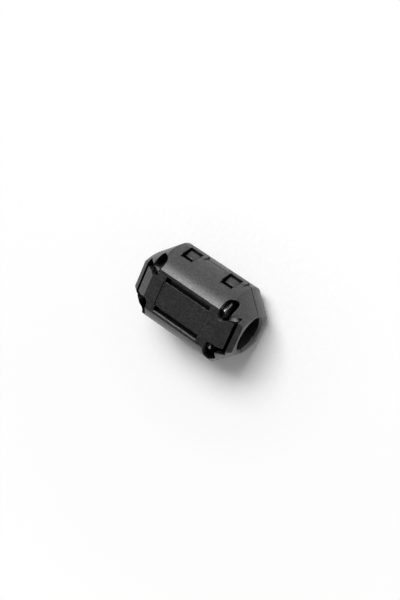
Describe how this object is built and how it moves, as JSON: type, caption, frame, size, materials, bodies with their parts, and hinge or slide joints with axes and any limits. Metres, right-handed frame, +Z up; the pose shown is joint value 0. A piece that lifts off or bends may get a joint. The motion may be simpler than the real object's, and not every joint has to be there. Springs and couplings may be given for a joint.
{
  "type": "clip on ferrite bead",
  "caption": "Clip-on cable ferrite: two hinged moulded half shells with snap latches, chamfered ends and sprung panels, each holding half of a ferrite tube.",
  "frame": {"origin": "centre of the cable bore, on the plane where the two halves meet", "axes": "+X along the cable, +Y towards the latches with the hinge on -Y, +Z up through the upper half; the part rests on its lower flat at z = -7.9 mm"},
  "size_m": [0.027, 0.0199, 0.0158],
  "materials": {
    "shell": "fine moulded texture",
    "core": "smooth ground ceramic"
  },
  "bodies": {
    "base": {"lower_shell": "shell", "lower_core": "core"},
    "lid": {"upper_shell": "shell", "upper_core": "core"}
  },
  "joints": [
    {"name": "lid_hinge", "type": "hinge", "parent": "base", "child": "lid", "pos_m": [0, -0.0094, 0], "axis": [1, 0, 0], "range_deg": [0, 180]}
  ]
}
